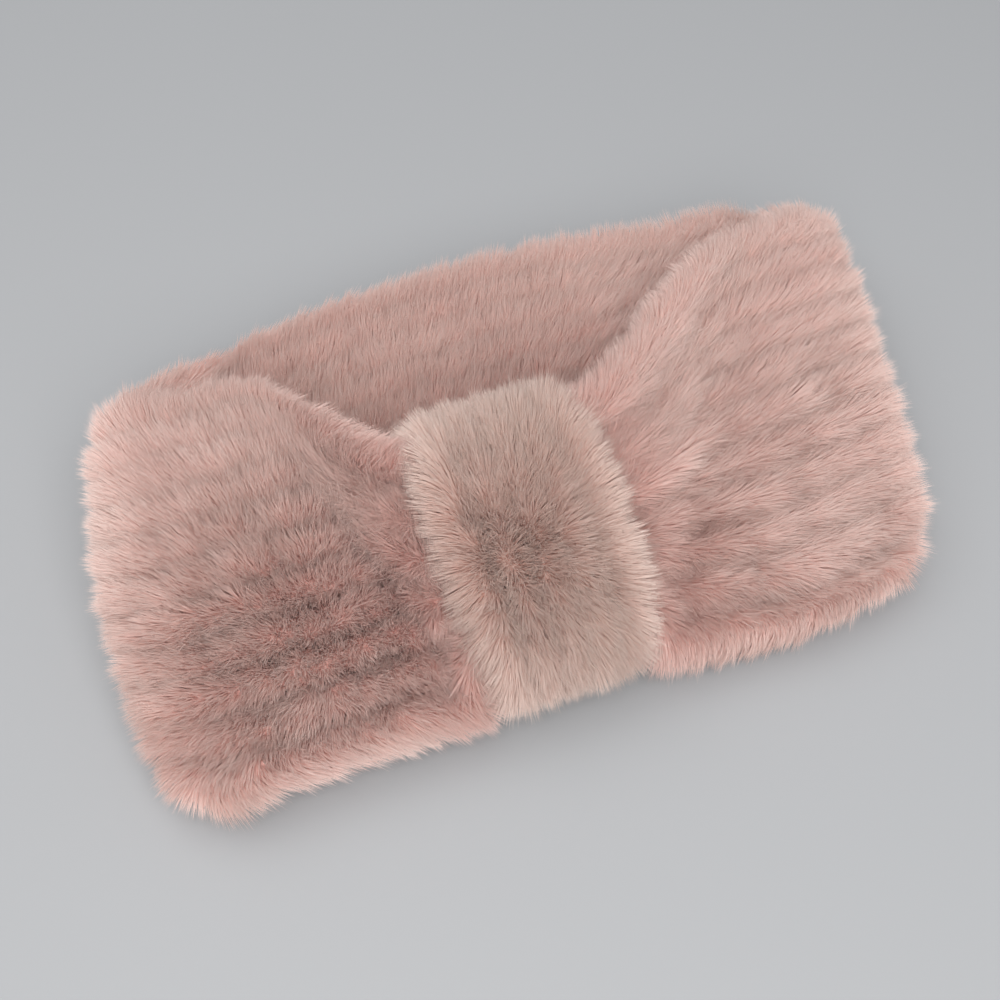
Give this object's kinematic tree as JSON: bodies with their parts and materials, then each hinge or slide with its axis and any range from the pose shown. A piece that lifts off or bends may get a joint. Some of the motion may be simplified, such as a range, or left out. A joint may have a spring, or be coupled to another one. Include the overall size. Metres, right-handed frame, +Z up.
{
  "type": "knitted fur headband",
  "caption": "Wide stretchy knitted-fur headband, a flattened loop of fur strips on an elastic net, gathered at the front by a short fur wrap.",
  "frame": {"origin": "centre of the bounding box's underside, where the rear panel lies on the table", "axes": "+X along the flattened loop, +Y the way the head opening looks, +Z up through the two layers"},
  "size_m": [0.286, 0.1745, 0.0607],
  "materials": {
    "band_fur": "dense soft dyed pile, dusty pink",
    "wrap_fur": "dense soft dyed pile, beige pink",
    "elastic_net": "knitted elastic mesh, matte",
    "thread": "spun polyester sewing thread"
  },
  "bodies": {
    "root": {"band_fur_row_01": "band_fur", "band_fur_row_02": "band_fur", "band_fur_row_03": "band_fur", "band_fur_row_04": "band_fur", "band_fur_row_05": "band_fur", "band_fur_row_06": "band_fur", "band_fur_row_07": "band_fur", "band_fur_row_08": "band_fur", "band_fur_row_09": "band_fur", "band_fur_row_10": "band_fur", "band_fur_row_11": "band_fur", "wrap_fur_row_01": "wrap_fur", "wrap_fur_row_02": "wrap_fur", "wrap_fur_row_03": "wrap_fur", "wrap_fur_row_04": "wrap_fur", "wrap_fur_row_05": "wrap_fur", "band_net": "elastic_net", "wrap_net": "elastic_net", "band_join_seam": "thread", "wrap_join_seam": "thread", "wrap_tack_stitches": "thread"}
  },
  "joints": []
}
